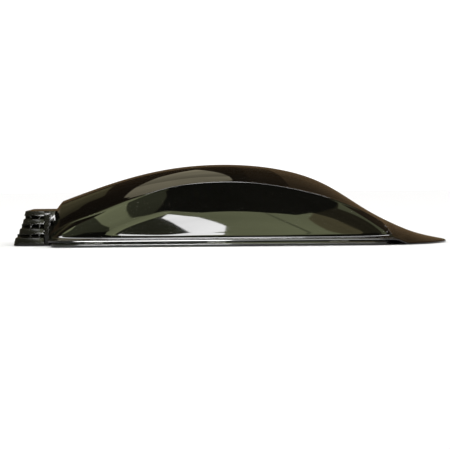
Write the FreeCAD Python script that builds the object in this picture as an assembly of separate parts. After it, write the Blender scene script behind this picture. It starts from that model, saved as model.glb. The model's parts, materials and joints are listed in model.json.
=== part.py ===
import FreeCAD, Part
import os
from math import atan2, cos, degrees, radians, sin, sqrt

from FreeCAD import Vector

# Low streamlined roof vent cover. X runs from the louvre at the rear to the nose, and Z is up. All
# sizes are in millimetres. The shapes are drawn about the hood's own middle line; each one is saved
# moved by CENTRE_SHIFT, so that the origin lies on the roof under the middle of the whole cover,
# whose hinge barrels stand out on the far side.

os.makedirs("parts", exist_ok=True)

CENTRE_SHIFT = -5.0

# Driving dimensions of the hood
HALF_WIDTH = 145.0
WALL = 3.0
NOSE_X = 345.0
HOOD_REAR_X = -286.0
SHOULDER_X = -272.0
BUBBLE_END_X = 254.0
DIVE_START_X = 236.0
NOSE_START_X = 225.0
NOSE_ELLIPSE_LENGTH = 128.0
FLANGE_MARGIN = 17.0
TIP_MARGIN = 7.0
CREASE_STEP = 0.8
CAVITY_END_X = 300.0
REAR_END_RIDGE = 51.0
REAR_TAPER = 12.0
BODY_SPANS = 14
NOSE_SPAN = 3.5
BOW_X = {"front": 100.0, "rear": -90.0}
BOW_WIDTH = 4.0
BOW_DEPTH = 9.0
BOW_GAP = 0.4
BOW_REACH = 0.9
CAVITY_OPEN = 1.0

# Heights of the stack on the roof
ROOF_GAP = 0.8
GASKET_TOP = 3.0
BASE_TOP = 6.5
HOOD_UNDER = 8.0
HOOD_FLANGE_TOP = 11.5
TIP_UNDER = 0.8
TIP_TOP = 3.2
TONGUE_DROP_X = (250.0, 276.0)

# Lines that shape the hood: height of the ridge and of the crease, and how far out the crease runs
RIDGE = ((-272, 69), (-195, 96.5), (-99, 120), (-5, 126.5), (84, 117.5), (162, 89.5), (220, 52.5),
         (258, 32.5), (297, 16), (345, 4.4))
CREASE = ((-286, 15), (-260, 33), (-220, 49), (-175, 66.5), (-128, 82.5), (-90, 92.5), (-50, 97.5),
          (0, 99), (50, 95.5), (97, 87.5), (162, 70), (210, 49.5), (240, 32))
CREASE_OUT = ((-286, 103), (-180, 99), (0, 98), (240, 103))
STRAP_FULLNESS = ((-286, 0.5), (-150, 0.42), (0, 0.4), (200, 0.48), (345, 0.6))

# Base frame
BASE_REAR_X = -281.0
BASE_FRONT_X = 248.0
BASE_CORNER = 14.0
BASE_FRONT_CORNER = 30.0
LIP = 3.0
THROAT = (-215.0, 195.0, 92.0)
UPSTAND_TOP = 30.0
UPSTAND_WALL = 3.0
THROAT_CORNER = 18.0
SCREW_HOLE_R = 2.6
SCREW_ROW_Y = 112.0
SCREW_PATTERN_X = -16.5
SCREW_OUTER_HALF = 220.0
SCREW_INNER_HALF = 75.0
GASKET_OUT = 127.0
GASKET_INSET = 8.0
GASKET_CORNERS = (10.0, 24.0)
GASKET_THROAT_GAP = 6.0

# Seal between the base frame and the hood: rear X, front X, half width, rear and front corner radius
SEAL_OUTER = (-277.0, 240.0, 132.0, 10.0, 24.0)
SEAL_INNER = (-273.0, 234.0, 126.5, 7.0, 20.0)

# Rain baffle behind the throat
BAFFLE_X = -243.0
BAFFLE_HALF = 84.0
BAFFLE_TOP = 30.0
BAFFLE_THICKNESS = 2.0
BAFFLE_FOOT = 14.0
BAFFLE_LIP = 5.0
BAFFLE_SCREW_Y = (-66.0, 0.0, 66.0)

# Self-tapping screws
PILOT_R = 1.25
CLEAR_R = 1.7
BAFFLE_SCREW = {"shank_r": PILOT_R, "shank": 5.0, "head_r": 3.0, "head": 2.0}
HOUSING_PILOT_R = 1.3
HOUSING_SCREW = {"shank_r": HOUSING_PILOT_R, "shank": 7.5, "head_r": 2.9, "head": 1.9}
HOUSING_SCREW_Y = (-68.5, 68.5)
HOUSING_SCREW_Z = (12.0, 30.0)
SOCKET_DEPTH = 0.9
SOCKET_SIZE = 0.42
HEAD_ROUND = 0.45

# Louvre box
BLOCK_HALF = 76.0
BLOCK_BOTTOM = 1.0
BLOCK_TOP = 55.0
FRAME_BACK_X = -292.0
FRAME_FRONT_X = -287.2
CHANNEL_BACK_X = -296.6
CAP_UNDER = 47.5
BROW_UNDER = 39.0
BROW_FRONT_X = -279.0
TRAY_TOP = 3.5
OUTLET_HALF = 62.0
OUTLET_Z = (14.0, 36.0)
VANE_THICKNESS = 2.0
BLADE_REACH = 8.0
BLADE_RISE = 4.5
CORNER_R = 9.0
CAP_PROFILE = ((47.5, -328.2, 0.8), (55.0, -326.2, 0.0))
# Each tier: name, low z, high z, rear x at the bottom, rear x at the top, side step
TIERS = (
    ("lower", 1.0, 12.5, -345.0, -342.2, 7.0),
    ("middle", 18.5, 27.0, -336.8, -335.2, 4.0),
    ("upper", 34.5, 42.0, -331.0, -329.4, 1.5),
)
RIB_Y = (-60.0, -20.0, 20.0, 60.0)
RIB_X = (-318.0, -304.0)
RIB_THICKNESS = 2.4
RIB_BACK_TO = -316.0
RIB_SIDE_Y = (64.0, 84.0)
STOP_THICKNESS = 2.5
LOUVRE_GASKET_MARGIN = 10.0
LOUVRE_GASKET_Z = (9.0, 38.0)
LOUVRE_GASKET_GAP = (2.0, 1.5, 0.5)

# Insect screen
SCREEN_X = (-296.0, -292.4)
SCREEN_HALF = 72.5
SCREEN_Z = (4.2, 46.7)
SCREEN_BAR = 6.0
PULL_Z = (2.0, 48.5)
PULL_X = (-296.2, -287.6)
PULL_Y = (-79.0, -76.4)
MESH_X = (-294.6, -293.8)
MESH_SIDE_PLAY = 0.1
MESH_GRIP = 2.0
SCREEN_NECK_MARGIN = 4.0
SCREEN_NECK_TENON = 0.5

# Hinges on the far side
HINGE_Y = 151.5
HINGE_Z = 10.5
BARREL_R = 3.5
PIN_R = 1.5
PIN_GAP = 0.05
HINGE_X = {"front": 120.0, "rear": -150.0}
LEAF_LENGTH = 44.0
KNUCKLE = 14.0
KNUCKLE_GAP = 0.4
LEAF_THICKNESS = 1.5
RIVET_R = 1.5
RIVET_HEAD_R = 2.3
RIVET_SPREAD = 15.0
HOOD_RIVET_Y = 137.0
BASE_RIVET_Z = 3.6
RIVET_FLARE = 0.8
RIVET_TAIL = 0.5
HOOD_LEAF_Y = (131.0, 146.2)
BASE_LEAF_Z = (1.2, 6.0, 7.5)
BASE_LEAF_REACH = 1.0
PIN_CAP = 1.2
PIN_CAP_FLARE = 1.0

# Quarter-turn latches in the near flange
LATCH_X = {"front": 165.0, "middle": -25.0, "rear": -215.0}
LATCH_Y = -136.5
HEAD_R = 5.0
HEAD_DEPTH = 2.0
SHANK_R = 2.4
BAR_LENGTH = 10.4
BAR_WIDTH = 2.6
BAR_Z = (1.0, 2.6)
KEYHOLE_PLAY = 0.4
COUNTERBORE_PLAY = 0.4
SHANK_PLAY = 0.3
DRIVER_SLOT = (3.6, 0.7, 1.1)
PLATE_HALF = 14.5
PLATE_SIDES = (-5.5, 3.8)
PLATE_THICKNESS = 0.9
PLATE_CORNER = 1.5
PLATE_RIVET_SPREAD = 11.0
PLATE_RIVET_TAIL = 0.6

# How far a cutting shape runs past the surface it cuts through
PAST = 1.0


def natural_cubic(points):
    """A smooth height over X through the given points."""
    xs = [float(p[0]) for p in points]
    ys = [float(p[1]) for p in points]
    last = len(xs) - 1
    bends = [0.0] * (last + 1)
    upper = [0.0] * (last + 1)
    for i in range(1, last):
        left = xs[i] - xs[i - 1]
        right = xs[i + 1] - xs[i]
        pull = 6 * ((ys[i + 1] - ys[i]) / right - (ys[i] - ys[i - 1]) / left)
        pivot = 2 * (left + right) - left * upper[i - 1]
        upper[i] = right / pivot
        bends[i] = (pull - left * bends[i - 1]) / pivot
    for i in range(last - 1, 0, -1):
        bends[i] -= upper[i] * bends[i + 1]

    def height(x):
        x = min(max(x, xs[0]), xs[-1])
        i = max(k for k in range(last) if xs[k] <= x)
        span = xs[i + 1] - xs[i]
        a = (xs[i + 1] - x) / span
        b = (x - xs[i]) / span
        curve = ((a**3 - a) * bends[i] + (b**3 - b) * bends[i + 1]) * span * span / 6
        return a * ys[i] + b * ys[i + 1] + curve

    return height


ridge_line = natural_cubic(RIDGE)
crease_line = natural_cubic(CREASE)
crease_out_line = natural_cubic(CREASE_OUT)
fullness_line = natural_cubic(STRAP_FULLNESS)


def ease(x, start, end):
    """Rises smoothly from 0 at start to 1 at end."""
    t = min(max((x - start) / (end - start), 0.0), 1.0)
    return t * t * (3 - 2 * t)


def mix(a, b, t):
    return a + (b - a) * t


def ridge_z(x):
    if x < SHOULDER_X:
        t = (x - HOOD_REAR_X) / (SHOULDER_X - HOOD_REAR_X)
        return mix(REAR_END_RIDGE, ridge_line(SHOULDER_X), t)
    return ridge_line(x)


def under_z(x):
    return mix(HOOD_UNDER, TIP_UNDER, ease(x, *TONGUE_DROP_X))


def flange_z(x):
    return mix(HOOD_FLANGE_TOP, TIP_TOP, ease(x, *TONGUE_DROP_X))


def edge_y(x):
    """Half width of the flange: cut rear corners, straight sides, then an ellipse cut off at the tip."""
    if x < SHOULDER_X:
        return HALF_WIDTH - REAR_TAPER * (SHOULDER_X - x) / (SHOULDER_X - HOOD_REAR_X)
    along = max(x - NOSE_START_X, 0.0) / NOSE_ELLIPSE_LENGTH
    return HALF_WIDTH * sqrt(1 - along * along)


def root_y(x):
    """Where the side rises from the flange."""
    return edge_y(x) - mix(FLANGE_MARGIN, TIP_MARGIN, ease(x, BUBBLE_END_X, NOSE_X))


def crease_z(x):
    return mix(crease_line(x), flange_z(x) + CREASE_STEP, ease(x, DIVE_START_X, BUBBLE_END_X))


def crease_y(x):
    return mix(crease_out_line(x), root_y(x) - CREASE_STEP, ease(x, DIVE_START_X, BUBBLE_END_X))


def side_poles(x, inset):
    """Bezier poles of the side, from its root up to the crease, moved inwards by inset."""
    foot = (root_y(x) - inset, flange_z(x) - inset * (x > BUBBLE_END_X))
    top = (crease_y(x) - 0.6 * inset, crease_z(x) - inset)
    lean = degrees(atan2(foot[0] - top[0], top[1] - foot[1]))
    reach = 0.38 * sqrt((foot[0] - top[0]) ** 2 + (top[1] - foot[1]) ** 2)
    low = radians(max(lean - 12, 0))
    high = radians(min(lean + 18, 88))
    second = (foot[0] - reach * sin(low), foot[1] + reach * cos(low))
    third = (top[0] + reach * sin(high), top[1] - reach * cos(high))
    return foot, second, third, top


def strap_poles(x, inset):
    """Bezier poles of the strap, from the near crease over the ridge to the far one."""
    out = crease_y(x) - 0.6 * inset
    low = crease_z(x) - inset
    high = low + (ridge_z(x) - inset - low) / 0.75
    fullness = fullness_line(x)
    return (-out, low), (-fullness * out, high), (fullness * out, high), (out, low)


def bezier(x, poles):
    curve = Part.BezierCurve()
    curve.setPoles([Vector(x, y, z) for y, z in poles])
    return curve.toShape()


def line(x, a, b):
    return Part.LineSegment(Vector(x, *a), Vector(x, *b)).toShape()


def flipped(poles):
    return [(-y, z) for y, z in poles]


def hood_section(x):
    """Closed outline of the hood at one station, with its flange."""
    side = side_poles(x, 0.0)
    edge = edge_y(x)
    low = under_z(x)
    top = flange_z(x)
    root = side[0]
    return Part.Wire([
        line(x, (edge, low), (-edge, low)),
        line(x, (-edge, low), (-edge, top)),
        line(x, (-edge, top), (-root[0], top)),
        bezier(x, flipped(side)),
        bezier(x, strap_poles(x, 0.0)),
        bezier(x, side[::-1]),
        line(x, (root[0], top), (edge, top)),
        line(x, (edge, top), (edge, low)),
    ])


def cavity_section(x):
    """Closed outline of the hollow under the hood, open below the flange."""
    side = side_poles(x, WALL)
    floor = under_z(x) - CAVITY_OPEN
    root = side[0]
    return Part.Wire([
        line(x, (root[0], floor), (-root[0], floor)),
        line(x, (-root[0], floor), (-root[0], root[1])),
        bezier(x, flipped(side)),
        bezier(x, strap_poles(x, WALL)),
        bezier(x, side[::-1]),
        line(x, root, (root[0], floor)),
    ])


def evenly(start, end, count):
    return [mix(start, end, i / count) for i in range(count + 1)]


def loft(section, positions, ruled=False):
    return Part.makeLoft([section(x) for x in positions], True, ruled)


def loft_along(section, start, turn, end):
    """A smooth loft along the body, then short straight spans where the shape turns quickly."""
    body = loft(section, evenly(start, turn, BODY_SPANS))
    front = loft(section, evenly(turn, end, round((end - turn) / NOSE_SPAN)), ruled=True)
    return body.fuse(front)


def box(low, high):
    size = [b - a for a, b in zip(low, high)]
    return Part.makeBox(*size, Vector(*low))


def cylinder(radius, start, direction, length):
    return Part.makeCylinder(radius, length, Vector(*start), Vector(*direction))


def rounded_plate(x0, x1, half, z0, z1, rear_r, front_r=None):
    """A flat plate, symmetric across the middle, with rounded upright corners."""
    plate = box((x0, -half, z0), (x1, half, z1))
    front_r = rear_r if front_r is None else front_r
    for corner_x, radius in ((x0, rear_r), (x1, front_r)):
        if radius:
            edges = [e for e in plate.Edges if is_upright(e) and abs(e.Vertexes[0].X - corner_x) < 0.01]
            plate = plate.makeFillet(radius, edges)
    return plate


def round_hole(radius, x, y, z0, z1):
    return cylinder(radius, (x, y, z0 - PAST), (0, 0, 1), z1 - z0 + 2 * PAST)


def is_upright(edge):
    a, b = edge.Vertexes[0].Point, edge.Vertexes[-1].Point
    return abs(a.x - b.x) < 0.001 and abs(a.y - b.y) < 0.001


def fuse(shapes):
    joined = shapes[0].multiFuse(list(shapes[1:])) if len(shapes) > 1 else shapes[0]
    return joined.removeSplitter()


def save(name, shape):
    shape.translated(Vector(0, CENTRE_SHIFT, 0)).exportStep(f"parts/{name}.step")


# Hood

def hood_outside():
    rear = loft(hood_section, [HOOD_REAR_X, SHOULDER_X], ruled=True)
    return rear.fuse(loft_along(hood_section, SHOULDER_X, DIVE_START_X, NOSE_X))


def hood_inside():
    start = SHOULDER_X + PAST
    rear = loft(cavity_section, [HOOD_REAR_X + WALL, start], ruled=True)
    return rear.fuse(loft_along(cavity_section, start, DIVE_START_X - WALL, CAVITY_END_X))


def housing_screw_places():
    return [(y, z) for y in HOUSING_SCREW_Y for z in HOUSING_SCREW_Z]


def hood_shell(outside):
    shell = outside.cut(hood_inside())
    rear = HOOD_REAR_X - PAST
    holes = [box((rear, -OUTLET_HALF, OUTLET_Z[0]), (SHOULDER_X, OUTLET_HALF, OUTLET_Z[1]))]
    for y, z in housing_screw_places():
        holes.append(cylinder(CLEAR_R, (rear, y, z), (1, 0, 0), WALL + 2 * PAST))
    for x in LATCH_X.values():
        seat = HOOD_FLANGE_TOP - HEAD_DEPTH
        holes.append(cylinder(HEAD_R + COUNTERBORE_PLAY, (x, LATCH_Y, seat), (0, 0, 1), 2 * HEAD_DEPTH))
        holes.append(round_hole(SHANK_R + SHANK_PLAY, x, LATCH_Y, HOOD_UNDER, HOOD_FLANGE_TOP))
    for x, y in hood_rivet_places():
        holes.append(round_hole(RIVET_R, x, y, HOOD_UNDER, HOOD_FLANGE_TOP))
    return shell.cut(Part.makeCompound(holes))


def seal_plate(outline, z0, z1):
    rear, front, half, rear_r, front_r = outline
    return rounded_plate(rear, front, half, z0, z1, rear_r, front_r)


def hood_seal():
    inner = seal_plate(SEAL_INNER, BASE_TOP - PAST, HOOD_UNDER + PAST)
    return seal_plate(SEAL_OUTER, BASE_TOP, HOOD_UNDER).cut(inner)


def crown_bow(x):
    """A stiffening bow that follows the underside of the crown."""
    outlines = []
    for station in (x, x + BOW_WIDTH):
        top = [(y * BOW_REACH, z - BOW_GAP) for y, z in strap_poles(station, WALL)]
        lower = [(y, z - BOW_DEPTH) for y, z in top]
        outlines.append(Part.Wire([
            bezier(station, top),
            line(station, top[-1], lower[-1]),
            bezier(station, lower[::-1]),
            line(station, lower[0], top[0]),
        ]))
    return Part.makeLoft(outlines, True, True)


# Base frame

def screw_places():
    xs = [SCREW_PATTERN_X + s * h for s in (-1, 1) for h in (SCREW_INNER_HALF, SCREW_OUTER_HALF)]
    return [(x, y) for x in xs for y in (-SCREW_ROW_Y, SCREW_ROW_Y)]


def throat(grow, z0, z1):
    rear, front, half = THROAT
    return rounded_plate(rear - grow, front + grow, half + grow, z0, z1, THROAT_CORNER + grow)


def base_frame():
    plate = rounded_plate(
        BASE_REAR_X, BASE_FRONT_X, HALF_WIDTH, ROOF_GAP, BASE_TOP, BASE_CORNER, BASE_FRONT_CORNER
    )
    recess = rounded_plate(
        BASE_REAR_X + LIP, BASE_FRONT_X - LIP, HALF_WIDTH - LIP, 0, GASKET_TOP,
        BASE_CORNER - LIP, BASE_FRONT_CORNER - LIP,
    )
    upstand = throat(UPSTAND_WALL, GASKET_TOP, UPSTAND_TOP)
    frame = plate.cut(recess).fuse(upstand).cut(throat(0, -PAST, UPSTAND_TOP + PAST))
    holes = [round_hole(SCREW_HOLE_R, x, y, GASKET_TOP, BASE_TOP) for x, y in screw_places()]
    holes += [keyhole(x, GASKET_TOP, BASE_TOP) for x in LATCH_X.values()]
    holes += [round_hole(RIVET_R, x, LATCH_Y, GASKET_TOP, BASE_TOP) for x in plate_rivet_xs()]
    holes += [round_hole(PILOT_R, x, y, GASKET_TOP, BASE_TOP) for x, y in baffle_screw_places()]
    for x in leaf_rivet_xs():
        holes.append(cylinder(RIVET_R, (x, HALF_WIDTH - LIP, BASE_RIVET_Z), (0, 1, 0), LIP))
    return frame.cut(Part.makeCompound(holes))


def roof_gasket():
    outer = rounded_plate(
        BASE_REAR_X + GASKET_INSET, BASE_FRONT_X - GASKET_INSET, GASKET_OUT, 0, GASKET_TOP, *GASKET_CORNERS
    )
    cuts = [throat(GASKET_THROAT_GAP, -PAST, GASKET_TOP + PAST)]
    cuts += [round_hole(SCREW_HOLE_R + 0.5, x, y, 0, GASKET_TOP) for x, y in screw_places()]
    return outer.cut(Part.makeCompound(cuts))


def baffle_screw_places():
    return [(BAFFLE_X + 0.5 * BAFFLE_FOOT, y) for y in BAFFLE_SCREW_Y]


def rain_baffle():
    half = BAFFLE_HALF
    thick = BAFFLE_THICKNESS
    wall = box((BAFFLE_X, -half, BASE_TOP), (BAFFLE_X + thick, half, BAFFLE_TOP))
    foot = box((BAFFLE_X, -half, BASE_TOP), (BAFFLE_X + BAFFLE_FOOT, half, BASE_TOP + thick))
    lip = box((BAFFLE_X - BAFFLE_LIP, -half, BAFFLE_TOP - thick), (BAFFLE_X, half, BAFFLE_TOP))
    holes = [round_hole(CLEAR_R, x, y, BASE_TOP, BASE_TOP + thick) for x, y in baffle_screw_places()]
    return fuse([wall, foot, lip]).cut(Part.makeCompound(holes))


def pan_screw(start, direction, shank_r, shank, head_r, head):
    """A screw whose head seats at start and whose shank runs against direction."""
    body = cylinder(shank_r, start, [-d for d in direction], shank)
    top = cylinder(head_r, start, direction, head)
    top = top.makeFillet(head * HEAD_ROUND, [end_edge(top, start, direction, head)])
    centre = [s + d * (head - SOCKET_DEPTH) for s, d in zip(start, direction)]
    socket = Part.makePolygon(hexagon(centre, direction, head_r * SOCKET_SIZE))
    return top.fuse(body).cut(Part.Face(socket).extrude(Vector(*direction) * head))


def end_edge(shape, start, direction, head):
    end = Vector(*start) + Vector(*direction) * head
    return min(
        (e for e in shape.Edges if len(e.Vertexes) == 1),
        key=lambda e: (e.Curve.Center - end).Length,
    )


def hexagon(centre, direction, radius):
    across = Vector(0, 1, 0) if abs(direction[1]) < 0.5 else Vector(1, 0, 0)
    other = Vector(*direction).cross(across)
    turns = [radians(60 * i) for i in range(7)]
    return [Vector(*centre) + across * (radius * cos(t)) + other * (radius * sin(t)) for t in turns]


def baffle_screws():
    top = BASE_TOP + BAFFLE_THICKNESS
    return [pan_screw((x, y, top), (0, 0, 1), **BAFFLE_SCREW) for x, y in baffle_screw_places()]


# Louvre box

def tier_outline(z, rear_x, side):
    """A rounded outline at one height, open towards the hood."""
    half = BLOCK_HALF + side
    front = CHANNEL_BACK_X
    r = CORNER_R
    arc_mid = r * (1 - cos(radians(45)))
    points = [
        Vector(front, -half, z), Vector(rear_x + r, -half, z), Vector(rear_x, -half + r, z),
        Vector(rear_x, half - r, z), Vector(rear_x + r, half, z), Vector(front, half, z),
    ]
    near_mid = Vector(rear_x + arc_mid, -half + arc_mid, z)
    far_mid = Vector(rear_x + arc_mid, half - arc_mid, z)
    return Part.Wire([
        Part.LineSegment(points[0], points[1]).toShape(),
        Part.Arc(points[1], near_mid, points[2]).toShape(),
        Part.LineSegment(points[2], points[3]).toShape(),
        Part.Arc(points[3], far_mid, points[4]).toShape(),
        Part.LineSegment(points[4], points[5]).toShape(),
        Part.LineSegment(points[5], points[0]).toShape(),
    ])


def tier_solid(low, high, inset=0.0):
    """The block between two outlines, each given as z, rear x and side step."""
    wires = [tier_outline(z, x + inset, side - inset) for z, x, side in (low, high)]
    return Part.makeLoft(wires, True, True)


def vane(tier):
    """One louvre tier: an upright lip round three sides with a blade that slopes up behind the slot."""
    low_z, high_z, low_x, high_x, side = tier[1:]
    lip_low = (low_z, low_x, side)
    lip_high = (high_z, high_x, side - 1)
    lip = tier_solid(lip_low, lip_high).cut(tier_solid(
        (low_z - 0.01, low_x, side), (high_z + 0.01, high_x, side - 1), VANE_THICKNESS
    ))
    inner_low = (high_z - VANE_THICKNESS, high_x, side - 1)
    inner_high = (high_z - VANE_THICKNESS + BLADE_RISE, high_x + BLADE_REACH, side - 1 - BLADE_REACH)
    lifted = [(z + VANE_THICKNESS, x, s) for z, x, s in (inner_low, inner_high)]
    hollow = tier_solid(inner_low, inner_high)
    bore = tier_solid(
        (high_z - 3 * VANE_THICKNESS, high_x + BLADE_REACH, side - 1 - BLADE_REACH),
        (high_z + 2 * BLADE_RISE, high_x + BLADE_REACH, side - 1 - BLADE_REACH),
    )
    blade = tier_solid(*lifted).fuse(tier_solid(inner_low, lifted[0])).cut(hollow).cut(bore)
    return fuse([lip, blade])


def rib_envelope():
    """The room inside the tiers that the ribs may fill."""
    tops = [tier[1] for tier in TIERS[1:]] + [CAP_UNDER]
    parts = []
    for tier, top in zip(TIERS, tops):
        low_z, rear_x, side = tier[1], tier[4], tier[5] - 1
        parts.append(tier_solid((low_z, rear_x, side), (top, rear_x, side), VANE_THICKNESS))
    return fuse(parts)


def louvre_ribs():
    """Upright ribs behind the slots, along the rear and on both sides."""
    half = 0.5 * RIB_THICKNESS
    low, high = BLOCK_BOTTOM, CAP_UNDER
    ribs = [box((-NOSE_X, y - half, low), (RIB_BACK_TO, y + half, high)) for y in RIB_Y]
    for x in RIB_X:
        for near, far in (RIB_SIDE_Y, tuple(-y for y in RIB_SIDE_Y[::-1])):
            ribs.append(box((x - half, near, low), (x + half, far, high)))
    return Part.makeCompound(ribs).common(rib_envelope()).Solids


def louvre_housing(vanes, outside):
    half = BLOCK_HALF
    channel = (CHANNEL_BACK_X, FRAME_BACK_X)
    lower = TIERS[0]
    tray_back = (lower[4], lower[5] - 1)
    pieces = [
        box((FRAME_BACK_X, -half, BLOCK_BOTTOM), (FRAME_FRONT_X, half, BLOCK_TOP)),
        box((FRAME_FRONT_X - PAST, -half, BROW_UNDER), (BROW_FRONT_X, half, BLOCK_TOP)),
        box((channel[0], -half, CAP_UNDER), (channel[1], half, BLOCK_TOP)),
        box((channel[0], -half, BLOCK_BOTTOM), (channel[1], half, TRAY_TOP)),
        box((channel[0], half - STOP_THICKNESS, BLOCK_BOTTOM), (channel[1], half, BLOCK_TOP)),
        tier_solid(*CAP_PROFILE),
        tier_solid((lower[1], *tray_back), (TRAY_TOP, *tray_back), VANE_THICKNESS),
    ]
    body = fuse(pieces + louvre_ribs())
    mouth = box((CHANNEL_BACK_X, -OUTLET_HALF, OUTLET_Z[0]), (SHOULDER_X, OUTLET_HALF, OUTLET_Z[1]))
    cuts = vanes + [mouth, outside]
    for y, z in housing_screw_places():
        cuts.append(cylinder(HOUSING_PILOT_R, (FRAME_BACK_X, y, z), (1, 0, 0), 2 * WALL))
    return body.cut(Part.makeCompound(cuts))


def louvre_gasket():
    half = OUTLET_HALF + LOUVRE_GASKET_MARGIN
    side, below, above = LOUVRE_GASKET_GAP
    start = FRAME_FRONT_X - PAST
    end = HOOD_REAR_X + PAST
    outer = box((FRAME_FRONT_X, -half, LOUVRE_GASKET_Z[0]), (HOOD_REAR_X, half, LOUVRE_GASKET_Z[1]))
    window_half = OUTLET_HALF + side
    window_z = (OUTLET_Z[0] - below, OUTLET_Z[1] + above)
    cuts = [box((start, -window_half, window_z[0]), (end, window_half, window_z[1]))]
    cuts += [cylinder(CLEAR_R, (start, y, z), (1, 0, 0), end - start) for y, z in housing_screw_places()]
    return outer.cut(Part.makeCompound(cuts))


def louvre_screws():
    seat = HOOD_REAR_X + WALL
    return [pan_screw((seat, y, z), (1, 0, 0), **HOUSING_SCREW) for y, z in housing_screw_places()]


# Insect screen

def screen_frame():
    x0, x1 = SCREEN_X
    z0, z1 = SCREEN_Z
    margin = SCREEN_NECK_MARGIN
    outer = screen_plate(x0, x1, 0)
    window = screen_plate(x0 - PAST, x1 + PAST, SCREEN_BAR)
    groove = screen_plate(MESH_X[0] - MESH_SIDE_PLAY, MESH_X[1] + MESH_SIDE_PLAY, SCREEN_BAR - MESH_GRIP)
    neck = box((x0, PULL_Y[1] - SCREEN_NECK_TENON, z0 + margin), (x1, -SCREEN_HALF, z1 - margin))
    return fuse([outer, neck]).cut(Part.makeCompound([window, groove, screen_pull()]))


def screen_plate(x0, x1, inset):
    """A flat plate of the screen's outline, inset all round."""
    half = SCREEN_HALF - inset
    return box((x0, -half, SCREEN_Z[0] + inset), (x1, half, SCREEN_Z[1] - inset))


def screen_pull():
    """The strip that closes the screen's slot and is gripped to slide it out."""
    strip = box((PULL_X[0], PULL_Y[0], PULL_Z[0]), (PULL_X[1], PULL_Y[1], PULL_Z[1]))
    outer = [e for e in strip.Edges if is_upright(e) and abs(e.Vertexes[0].Y - PULL_Y[0]) < 0.01]
    return strip.makeFillet(1.0, outer)


def insect_mesh():
    return screen_plate(*MESH_X, SCREEN_BAR - MESH_GRIP)


# Hinges

def leaf_rivet_xs():
    return [x + s * RIVET_SPREAD for x in HINGE_X.values() for s in (-1, 1)]


def hood_rivet_places():
    return [(x, HOOD_RIVET_Y) for x in leaf_rivet_xs()]


def knuckle_tube(x0, x1):
    return cylinder(BARREL_R, (x0, HINGE_Y, HINGE_Z), (1, 0, 0), x1 - x0)


def pin_bore(x, radius):
    return cylinder(radius, (x - LEAF_LENGTH, HINGE_Y, HINGE_Z), (1, 0, 0), 2 * LEAF_LENGTH)


def hinge_leaf_hood(x):
    half = 0.5 * LEAF_LENGTH
    mid = 0.5 * KNUCKLE
    top = HOOD_FLANGE_TOP + LEAF_THICKNESS
    near, far = HOOD_LEAF_Y
    plate = box((x - half, near, HOOD_FLANGE_TOP), (x + half, far, top))
    tongue = box((x - mid, near, HOOD_FLANGE_TOP), (x + mid, HINGE_Y, top))
    holes = [pin_bore(x, PIN_R + PIN_GAP)]
    holes += [round_hole(RIVET_R, px, y, HOOD_FLANGE_TOP, top) for px, y in hood_rivet_places()]
    return fuse([plate, tongue, knuckle_tube(x - mid, x + mid)]).cut(Part.makeCompound(holes))


def hinge_leaf_base(x):
    half = 0.5 * LEAF_LENGTH
    mid = 0.5 * KNUCKLE + KNUCKLE_GAP
    bottom, shelf, top = BASE_LEAF_Z
    pieces = [box((x - half, HALF_WIDTH, bottom), (x + half, HALF_WIDTH + LEAF_THICKNESS, top))]
    for low, high in ((x - half, x - mid), (x + mid, x + half)):
        pieces.append(box((low, HALF_WIDTH, shelf), (high, HINGE_Y + BASE_LEAF_REACH, top)))
        pieces.append(knuckle_tube(low, high))
    holes = [pin_bore(x, PIN_R)]
    for px in leaf_rivet_xs():
        holes.append(cylinder(RIVET_R, (px, HALF_WIDTH - PAST, BASE_RIVET_Z), (0, 1, 0), LIP + PAST))
    return fuse(pieces).cut(Part.makeCompound(holes))


def hinge_pin(x):
    half = 0.5 * LEAF_LENGTH
    pin = cylinder(PIN_R, (x - half, HINGE_Y, HINGE_Z), (1, 0, 0), LEAF_LENGTH)
    starts = (x - half - PIN_CAP, x + half)
    caps = [cylinder(PIN_R + PIN_CAP_FLARE, (s, HINGE_Y, HINGE_Z), (1, 0, 0), PIN_CAP) for s in starts]
    return fuse([pin] + caps)


def rivet(start, direction, grip, tail):
    """A rivet with its dome at start; its shank runs grip deep, against direction, to a flat tail."""
    seat = Vector(*start)
    out = Vector(*direction)
    dome = Part.makeSphere(RIVET_HEAD_R * 1.25, seat - out * RIVET_HEAD_R * 0.75)
    keep = Part.makeCylinder(RIVET_HEAD_R * 2, 3, seat, out)
    pieces = [dome.common(keep), Part.makeCylinder(RIVET_R, grip, seat, out * -1)]
    if tail:
        pieces.append(Part.makeCylinder(RIVET_R + RIVET_FLARE, tail, seat - out * grip, out * -1))
    return fuse(pieces)


def hinge_rivets_hood():
    top = HOOD_FLANGE_TOP + LEAF_THICKNESS
    grip = top - HOOD_UNDER
    return [rivet((x, y, top), (0, 0, 1), grip, RIVET_TAIL) for x, y in hood_rivet_places()]


def hinge_rivets_base():
    out = HALF_WIDTH + LEAF_THICKNESS
    grip = LEAF_THICKNESS + LIP
    return [rivet((x, out, BASE_RIVET_Z), (0, 1, 0), grip, 0) for x in leaf_rivet_xs()]


# Quarter-turn latches

def keyhole(x, z0, z1):
    """The slot that a stud's cross bar passes when the latch is open."""
    half = 0.5 * BAR_LENGTH + KEYHOLE_PLAY
    wide = 0.5 * BAR_WIDTH + KEYHOLE_PLAY
    slot = box((x - half, LATCH_Y - wide, z0 - PAST), (x + half, LATCH_Y + wide, z1 + PAST))
    return slot.fuse(round_hole(SHANK_R + KEYHOLE_PLAY, x, LATCH_Y, z0, z1))


def plate_rivet_xs():
    return [x + s * PLATE_RIVET_SPREAD for x in LATCH_X.values() for s in (-1, 1)]


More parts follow.
